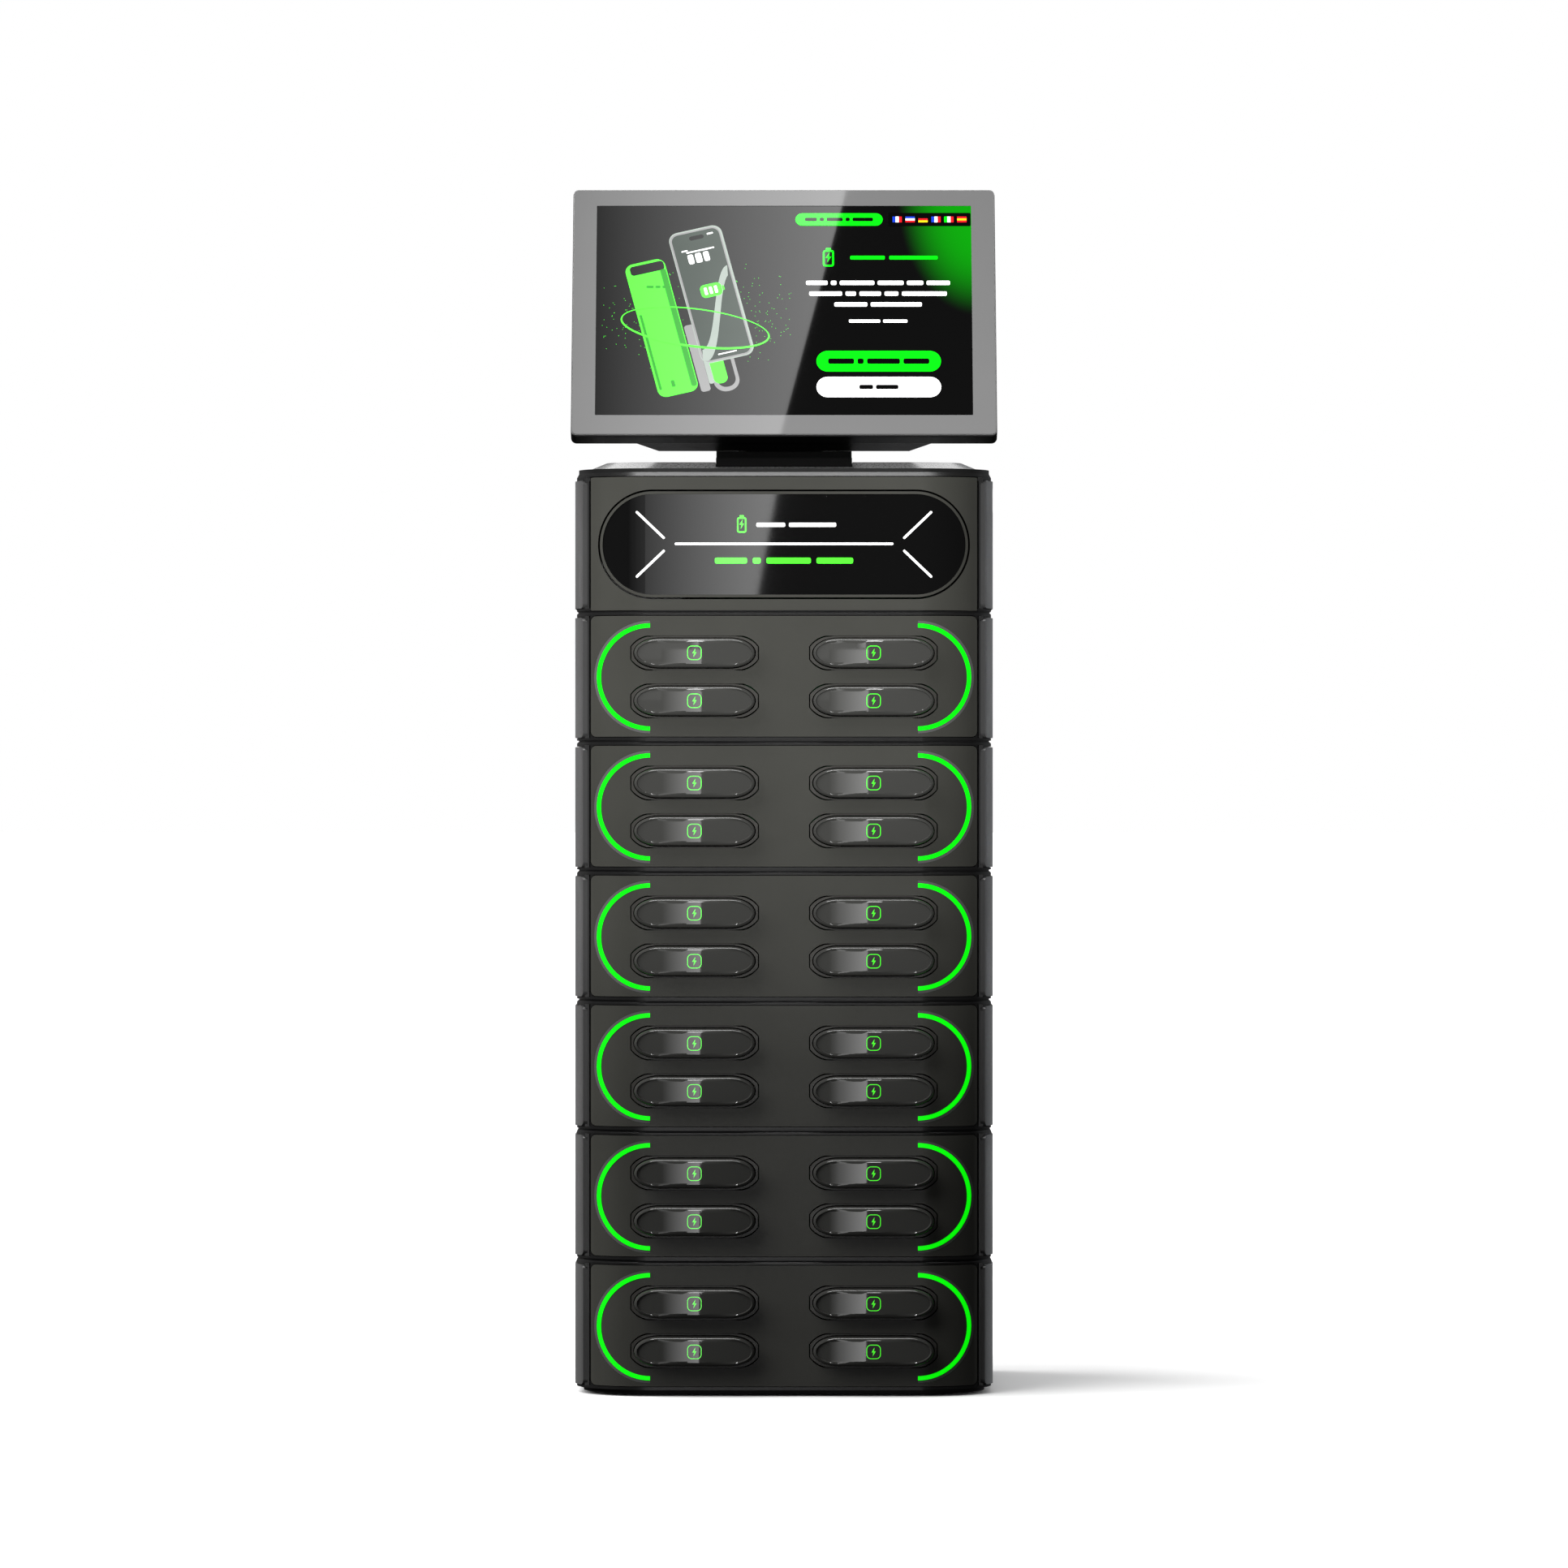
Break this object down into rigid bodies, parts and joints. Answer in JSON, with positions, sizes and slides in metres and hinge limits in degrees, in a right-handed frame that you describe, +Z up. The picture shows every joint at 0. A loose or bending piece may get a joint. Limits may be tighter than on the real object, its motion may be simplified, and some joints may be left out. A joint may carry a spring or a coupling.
{
  "type": "phone charging kiosk",
  "caption": "Tabletop phone charging kiosk: stacked modules of pull-out power banks under a lit sign head, with a tilting touch display on a short neck.",
  "frame": {"origin": "centre of the bounding box's bottom face, on the surface that the kiosk stands on", "axes": "+Z up; the front, with the banks and the screen, faces -Y; +X is to the right seen from the front"},
  "size_m": [0.2446, 0.228, 0.6956],
  "materials": {
    "base_black": "satin black powder coat",
    "foot_rubber": "matt black rubber",
    "housing_grey": "fine matt dark grey",
    "front_grey": "satin dark grey",
    "side_grey": "satin dark grey",
    "rear_black": "matt black",
    "screw_steel": "zinc plated",
    "arc_green": "translucent green light guide",
    "guide_black": "satin dark grey",
    "board_green": "green circuit board",
    "drive_grey": "grey gearbox",
    "bank_shell": "gloss dark grey",
    "sign_smoke": "polished smoked acrylic",
    "sign_white": "opal white light guide",
    "supply_metal": "mill finish sheet",
    "inlet_black": "matt black",
    "switch_black": "gloss black",
    "neck_metal": "satin black",
    "pin_steel": "turned steel",
    "display_black": "matt black",
    "screen_glass": "cover glass with a light grey printed border",
    "lcd_black": "display module"
  },
  "bodies": {
    "cabinet": {"base_plate": "base_black", "rubber_feet": "foot_rubber", "module_1_housing": "housing_grey", "module_2_housing": "housing_grey", "module_3_housing": "housing_grey", "module_4_housing": "housing_grey", "module_5_housing": "housing_grey", "module_6_housing": "housing_grey", "head_housing": "housing_grey", "top_lid": "housing_grey", "module_1_front": "front_grey", "module_2_front": "front_grey", "module_3_front": "front_grey", "module_4_front": "front_grey", "module_5_front": "front_grey", "module_6_front": "front_grey", "head_front": "front_grey", "side_covers": "side_grey", "rear_covers": "rear_black", "rear_screws": "screw_steel", "light_arcs": "arc_green", "slot_guides": "guide_black", "contact_boards": "board_green", "main_board": "board_green", "ejector_drives": "drive_grey", "sign_panel": "sign_smoke", "sign_light_bars": "sign_white", "power_supply": "supply_metal", "power_inlet": "inlet_black", "display_neck": "neck_metal", "hinge_pin": "pin_steel"},
    "power_bank_1a": {"power_bank_1a": "bank_shell"},
    "power_bank_1b": {"power_bank_1b": "bank_shell"},
    "power_bank_1c": {"power_bank_1c": "bank_shell"},
    "power_bank_1d": {"power_bank_1d": "bank_shell"},
    "power_bank_2a": {"power_bank_2a": "bank_shell"},
    "power_bank_2b": {"power_bank_2b": "bank_shell"},
    "power_bank_2c": {"power_bank_2c": "bank_shell"},
    "power_bank_2d": {"power_bank_2d": "bank_shell"},
    "power_bank_3a": {"power_bank_3a": "bank_shell"},
    "power_bank_3b": {"power_bank_3b": "bank_shell"},
    "power_bank_3c": {"power_bank_3c": "bank_shell"},
    "power_bank_3d": {"power_bank_3d": "bank_shell"},
    "power_bank_4a": {"power_bank_4a": "bank_shell"},
    "power_bank_4b": {"power_bank_4b": "bank_shell"},
    "power_bank_4c": {"power_bank_4c": "bank_shell"},
    "power_bank_4d": {"power_bank_4d": "bank_shell"},
    "power_bank_5a": {"power_bank_5a": "bank_shell"},
    "power_bank_5b": {"power_bank_5b": "bank_shell"},
    "power_bank_5c": {"power_bank_5c": "bank_shell"},
    "power_bank_5d": {"power_bank_5d": "bank_shell"},
    "power_bank_6a": {"power_bank_6a": "bank_shell"},
    "power_bank_6b": {"power_bank_6b": "bank_shell"},
    "power_bank_6c": {"power_bank_6c": "bank_shell"},
    "power_bank_6d": {"power_bank_6d": "bank_shell"},
    "display": {"display_shell": "display_black", "touch_glass": "screen_glass", "lcd_panel": "lcd_black", "display_bracket": "neck_metal"},
    "rocker": {"power_switch": "switch_black"}
  },
  "joints": [
    {"name": "slide_power_bank_1a", "type": "slide", "parent": "cabinet", "child": "power_bank_1a", "axis": [0, -1, 0], "range_m": [0, 0.125]},
    {"name": "slide_power_bank_1b", "type": "slide", "parent": "cabinet", "child": "power_bank_1b", "axis": [0, -1, 0], "range_m": [0, 0.125]},
    {"name": "slide_power_bank_1c", "type": "slide", "parent": "cabinet", "child": "power_bank_1c", "axis": [0, -1, 0], "range_m": [0, 0.125]},
    {"name": "slide_power_bank_1d", "type": "slide", "parent": "cabinet", "child": "power_bank_1d", "axis": [0, -1, 0], "range_m": [0, 0.125]},
    {"name": "slide_power_bank_2a", "type": "slide", "parent": "cabinet", "child": "power_bank_2a", "axis": [0, -1, 0], "range_m": [0, 0.125]},
    {"name": "slide_power_bank_2b", "type": "slide", "parent": "cabinet", "child": "power_bank_2b", "axis": [0, -1, 0], "range_m": [0, 0.125]},
    {"name": "slide_power_bank_2c", "type": "slide", "parent": "cabinet", "child": "power_bank_2c", "axis": [0, -1, 0], "range_m": [0, 0.125]},
    {"name": "slide_power_bank_2d", "type": "slide", "parent": "cabinet", "child": "power_bank_2d", "axis": [0, -1, 0], "range_m": [0, 0.125]},
    {"name": "slide_power_bank_3a", "type": "slide", "parent": "cabinet", "child": "power_bank_3a", "axis": [0, -1, 0], "range_m": [0, 0.125]},
    {"name": "slide_power_bank_3b", "type": "slide", "parent": "cabinet", "child": "power_bank_3b", "axis": [0, -1, 0], "range_m": [0, 0.125]},
    {"name": "slide_power_bank_3c", "type": "slide", "parent": "cabinet", "child": "power_bank_3c", "axis": [0, -1, 0], "range_m": [0, 0.125]},
    {"name": "slide_power_bank_3d", "type": "slide", "parent": "cabinet", "child": "power_bank_3d", "axis": [0, -1, 0], "range_m": [0, 0.125]},
    {"name": "slide_power_bank_4a", "type": "slide", "parent": "cabinet", "child": "power_bank_4a", "axis": [0, -1, 0], "range_m": [0, 0.125]},
    {"name": "slide_power_bank_4b", "type": "slide", "parent": "cabinet", "child": "power_bank_4b", "axis": [0, -1, 0], "range_m": [0, 0.125]},
    {"name": "slide_power_bank_4c", "type": "slide", "parent": "cabinet", "child": "power_bank_4c", "axis": [0, -1, 0], "range_m": [0, 0.125]},
    {"name": "slide_power_bank_4d", "type": "slide", "parent": "cabinet", "child": "power_bank_4d", "axis": [0, -1, 0], "range_m": [0, 0.125]},
    {"name": "slide_power_bank_5a", "type": "slide", "parent": "cabinet", "child": "power_bank_5a", "axis": [0, -1, 0], "range_m": [0, 0.125]},
    {"name": "slide_power_bank_5b", "type": "slide", "parent": "cabinet", "child": "power_bank_5b", "axis": [0, -1, 0], "range_m": [0, 0.125]},
    {"name": "slide_power_bank_5c", "type": "slide", "parent": "cabinet", "child": "power_bank_5c", "axis": [0, -1, 0], "range_m": [0, 0.125]},
    {"name": "slide_power_bank_5d", "type": "slide", "parent": "cabinet", "child": "power_bank_5d", "axis": [0, -1, 0], "range_m": [0, 0.125]},
    {"name": "slide_power_bank_6a", "type": "slide", "parent": "cabinet", "child": "power_bank_6a", "axis": [0, -1, 0], "range_m": [0, 0.125]},
    {"name": "slide_power_bank_6b", "type": "slide", "parent": "cabinet", "child": "power_bank_6b", "axis": [0, -1, 0], "range_m": [0, 0.125]},
    {"name": "slide_power_bank_6c", "type": "slide", "parent": "cabinet", "child": "power_bank_6c", "axis": [0, -1, 0], "range_m": [0, 0.125]},
    {"name": "slide_power_bank_6d", "type": "slide", "parent": "cabinet", "child": "power_bank_6d", "axis": [0, -1, 0], "range_m": [0, 0.125]},
    {"name": "display_tilt", "type": "hinge", "parent": "cabinet", "child": "display", "pos_m": [0, -0.06334, 0.55179], "axis": [1, 0, 0], "range_deg": [-20, 15]},
    {"name": "switch_rocker", "type": "hinge", "parent": "cabinet", "child": "rocker", "pos_m": [-0.034, 0.1075, 0.4739], "axis": [1, 0, 0], "range_deg": [-8, 0]}
  ]
}
